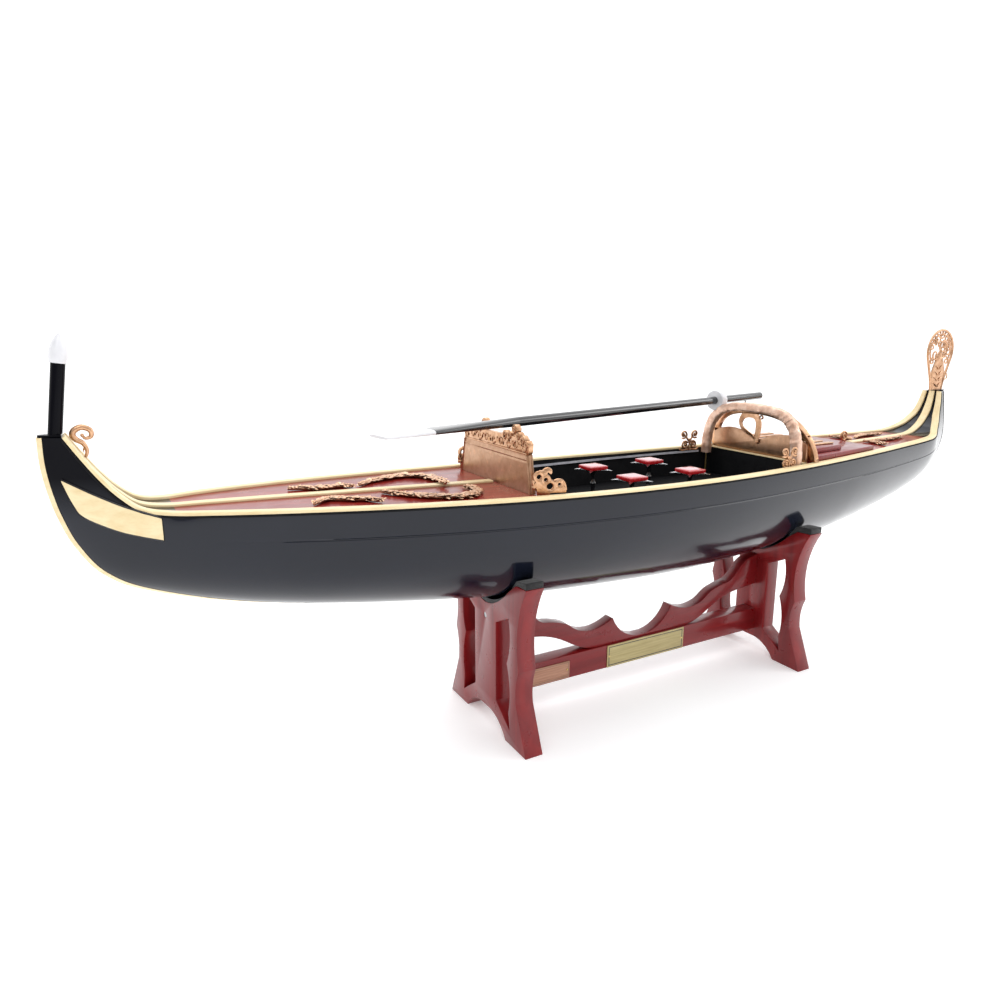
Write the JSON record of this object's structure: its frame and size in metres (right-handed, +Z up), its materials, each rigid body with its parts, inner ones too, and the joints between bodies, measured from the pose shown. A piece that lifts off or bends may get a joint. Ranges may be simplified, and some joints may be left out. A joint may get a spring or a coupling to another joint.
{
  "type": "gondola display model",
  "caption": "Scale model Venetian gondola with stools, hoops, gilded fittings and a lift-out oar, resting in the felt cradles of a lacquered wooden stand.",
  "frame": {"origin": "on the ground under the middle of the model's overall box", "axes": "+X along the boat from the white-tipped post end to the fan end, +Y to the boat's other side (the oar's collar side), +Z up"},
  "size_m": [0.8942, 0.1578, 0.3215],
  "materials": {
    "cherry_wood": "gloss lacquer",
    "deck_wood": "gloss lacquer",
    "raw_wood": "unfinished",
    "black_lacquer": "gloss black lacquer on wood",
    "black_matt": "matt black paint on wood",
    "cream_paint": "satin paint on wood strip",
    "grey_trim": "satin paint on wood strip",
    "felt": "felt",
    "rose_gilt": "polished copper-gilt casting",
    "pink_bronze": "hammered copper-gilt casting",
    "brass": "polished",
    "title_brass": "satin",
    "copper_sheet": "satin copper-coloured sheet",
    "steel": "plain",
    "white_paint": "gloss white paint on wood",
    "red_cushion": "gloss red paint on wood block",
    "silver": "polished stamped sheet"
  },
  "bodies": {
    "stand": {"upright_bow": "cherry_wood", "upright_stern": "cherry_wood", "lower_rail": "cherry_wood", "scroll_rail": "cherry_wood", "cradle_felts": "felt", "title_plate": "title_brass", "maker_plate": "copper_sheet", "plate_pins": "brass", "rail_dowels": "raw_wood", "rail_screws": "steel"},
    "boat": {"hull_shell": "black_lacquer", "bow_head": "black_lacquer", "stern_head": "black_lacquer", "keel_backbone": "raw_wood", "hull_frames": "raw_wood", "cockpit_bulkheads": "black_matt", "stem_strip": "cream_paint", "keel_shoe": "black_lacquer", "wing_panels": "cream_paint", "bow_deck": "deck_wood", "stern_deck": "deck_wood", "gunwale_port": "cream_paint", "gunwale_starboard": "cream_paint", "bow_centre_strip": "cream_paint", "stern_centre_strip": "cream_paint", "cockpit_floor": "black_matt", "cockpit_lining": "black_matt", "cockpit_ledges": "grey_trim", "bow_cap": "black_lacquer", "stern_cap": "black_lacquer", "bow_post": "black_lacquer", "flame_finial": "white_paint", "bow_curl": "rose_gilt", "seat_back": "rose_gilt", "seat_crest": "rose_gilt", "arm_scrolls": "rose_gilt", "stool_seat_1": "red_cushion", "stool_seat_2": "red_cushion", "stool_seat_3": "red_cushion", "stool_seat_4": "red_cushion", "stool_stands": "silver", "front_hoop": "pink_bronze", "hoop_pins": "brass", "rear_hoop": "rose_gilt", "rear_board": "rose_gilt", "board_sill": "cream_paint", "ribbon_scroll": "rose_gilt", "sea_horses": "rose_gilt", "oar_collar": "white_paint", "stern_platform": "cherry_wood", "stern_step": "cherry_wood", "gilt_slats": "rose_gilt", "deck_ring": "rose_gilt", "bow_garlands": "rose_gilt", "stern_garlands": "rose_gilt", "fan": "rose_gilt"},
    "oar": {"oar_shaft": "black_lacquer", "oar_blade": "black_lacquer", "oar_tip": "white_paint", "oar_peg": "steel"}
  },
  "joints": [
    {"name": "boat_lift", "type": "slide", "parent": "stand", "child": "boat", "axis": [0, 0, 1], "range_m": [0, 0.12]},
    {"name": "oar_slide", "type": "slide", "parent": "boat", "child": "oar", "axis": [0.9812, 0.193, 0], "range_m": [-0.04, 0.05]}
  ]
}
